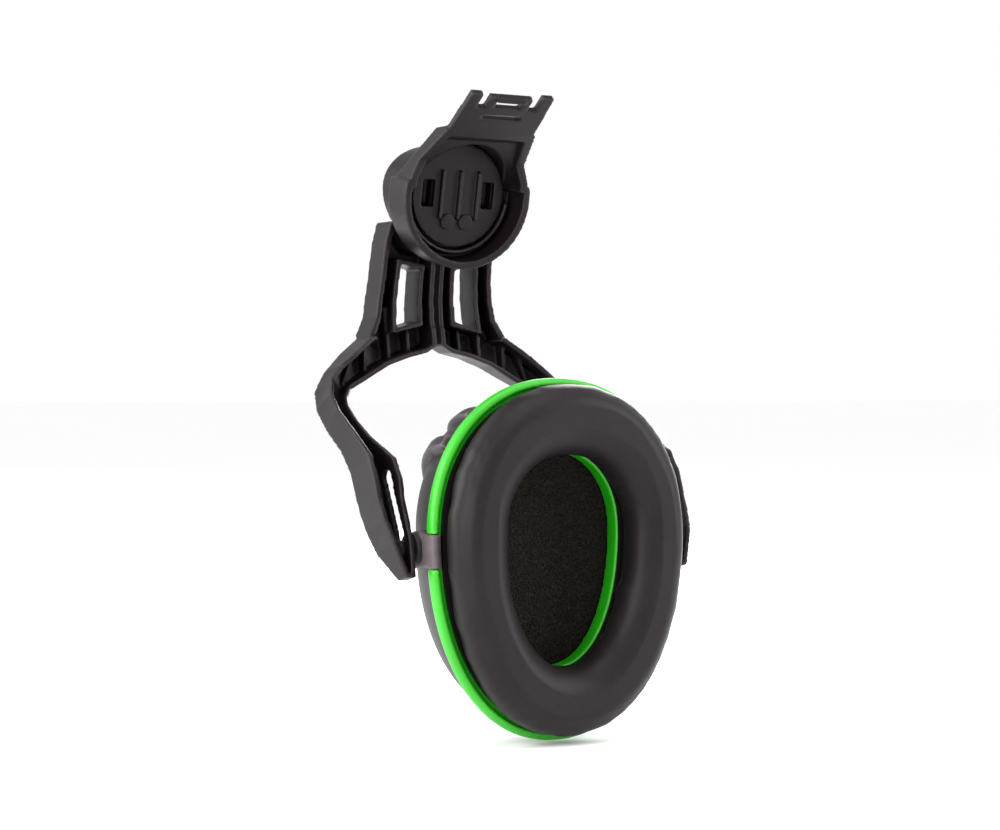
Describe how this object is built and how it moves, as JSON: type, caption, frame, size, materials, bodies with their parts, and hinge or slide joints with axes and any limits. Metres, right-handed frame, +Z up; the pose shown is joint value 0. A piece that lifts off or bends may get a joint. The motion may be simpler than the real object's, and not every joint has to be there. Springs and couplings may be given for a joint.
{
  "type": "earmuff hearing protector",
  "caption": "Helmet-mounted earmuff hearing protector: egg-shaped cup with a padded seal ring, held by a sprung two-armed yoke on a swivelling turret with a slide-in blade.",
  "frame": {"origin": "middle of the helmet blade's root, where it leaves the adapter, at half its thickness", "axes": "+Z up in the wearing position, +Y towards the wearer's head, X across the cup"},
  "size_m": [0.1104, 0.0965, 0.1967],
  "materials": {
    "black_plastic": "fine matte texture",
    "gloss_black": "polished",
    "green_plastic": "satin",
    "steel": "bright",
    "pale_nylon": "satin",
    "cushion_skin": "smooth artificial leather",
    "cushion_foam": "soft closed-cell foam",
    "liner_foam": "open-cell foam"
  },
  "bodies": {
    "adapter": {"adapter_base": "black_plastic", "wave_washer": "steel"},
    "turret": {"turret_housing": "black_plastic", "turret_cap": "gloss_black", "rotor_plate": "black_plastic", "rotor_pins": "black_plastic", "hinge_pin": "steel", "torsion_spring_left": "steel", "torsion_spring_right": "steel"},
    "arms": {"arm_left": "black_plastic", "arm_right": "black_plastic"},
    "pivots": {"trunnion_left": "black_plastic", "trunnion_right": "black_plastic", "pivot_washers": "pale_nylon"},
    "cup": {"cup_shell": "black_plastic", "level_mark": "green_plastic", "ring_plate": "green_plastic", "cushion_backing": "black_plastic", "cushion_cover": "cushion_skin", "cushion_foam": "cushion_foam", "liner_foam": "liner_foam"}
  },
  "joints": [
    {"name": "turret_swivel", "type": "hinge", "parent": "adapter", "child": "turret", "pos_m": [0, -0.02538, -0.01759], "axis": [0, -0.9816, 0.1908], "range_deg": [-90, 90]},
    {"name": "arm_swing", "type": "hinge", "parent": "turret", "child": "arms", "pos_m": [0, -0.03389, -0.02205], "axis": [-1, 0, 0], "range_deg": [0, 26], "stiffness_Nm_per_rad": 0.6, "springref_deg": -28.65},
    {"name": "cup_height", "type": "slide", "parent": "arms", "child": "pivots", "axis": [0, -0.4431, 0.8965], "range_m": [0, 0.0234]},
    {"name": "cup_tilt", "type": "hinge", "parent": "pivots", "child": "cup", "pos_m": [0, 0.02692, -0.12799], "axis": [1, 0, 0], "range_deg": [-12, 12]}
  ]
}
